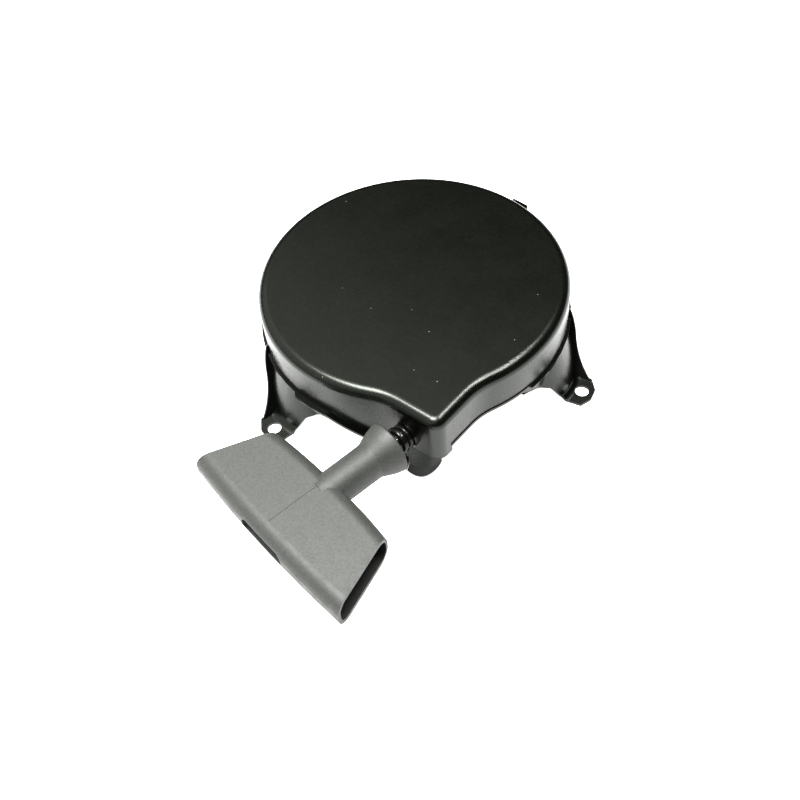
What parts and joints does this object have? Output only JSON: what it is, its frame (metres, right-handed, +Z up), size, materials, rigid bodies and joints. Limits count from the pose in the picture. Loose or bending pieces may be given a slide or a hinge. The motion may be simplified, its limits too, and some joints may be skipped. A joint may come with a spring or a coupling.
{
  "type": "recoil starter",
  "caption": "Small-engine pull starter: pressed-steel teardrop housing on bolt-down legs, sprung rope pulley inside, rope with a hollow plastic T-grip.",
  "frame": {"origin": "on the pulley's axis, in the plane that the four feet stand on", "axes": "+Z up along the pulley's axis from the feet to the flat top; the nose points along -Y; +X to the right seen from above with the nose towards the viewer"},
  "size_m": [0.1818, 0.2364, 0.045],
  "materials": {
    "housing_paint": "semi-gloss black paint",
    "eyelet_black": "gloss black",
    "bumper_nylon": "natural nylon",
    "bush_nylon": "natural nylon",
    "pilot_steel": "turned steel",
    "washer_steel": "zinc plated",
    "spring_steel": "blued spring steel",
    "pulley_zinc": "zinc plated pressed steel",
    "hub_steel": "machined steel, oiled",
    "rope_braid": "braided nylon",
    "grip_plastic": "grey moulded plastic, satin"
  },
  "bodies": {
    "housing": {"housing": "housing_paint", "rope_eyelet": "eyelet_black", "tang_bumper_left": "bumper_nylon", "tang_bumper_right": "bumper_nylon", "centre_pilot": "pilot_steel", "rewind_spring": "spring_steel", "thrust_washer": "washer_steel"},
    "pulley": {"pulley_upper_disc": "pulley_zinc", "pulley_lower_disc": "pulley_zinc", "pulley_hub": "hub_steel", "hub_bush": "bush_nylon", "pulley_rivets": "hub_steel", "rope_coil": "rope_braid", "pulley_knot": "rope_braid"},
    "pull_rope": {"rope_lead": "rope_braid", "handle_knot": "rope_braid"},
    "grip": {"handle_grip": "grip_plastic", "handle_washer": "washer_steel"}
  },
  "joints": [
    {"name": "pulley_spin", "type": "hinge", "parent": "housing", "child": "pulley", "pos_m": [0, 0, 0.0283], "axis": [0, 0, -1], "range_deg": [0, 1800], "stiffness_Nm_per_rad": 0.03, "springref_deg": -899.54},
    {"name": "handle_pull", "type": "slide", "parent": "housing", "child": "pull_rope", "axis": [-0.8171, -0.5764, 0], "range_m": [0, 1.507]},
    {"name": "grip_twist", "type": "hinge", "parent": "pull_rope", "child": "grip", "pos_m": [-0.0202, -0.08437, 0.0283], "axis": [-0.8171, -0.5764, 0], "range_deg": [-90, 90]}
  ],
  "couplings": [
    {"joint": "handle_pull", "follows": "pulley_spin", "m_per_rad": 0.04793}
  ]
}
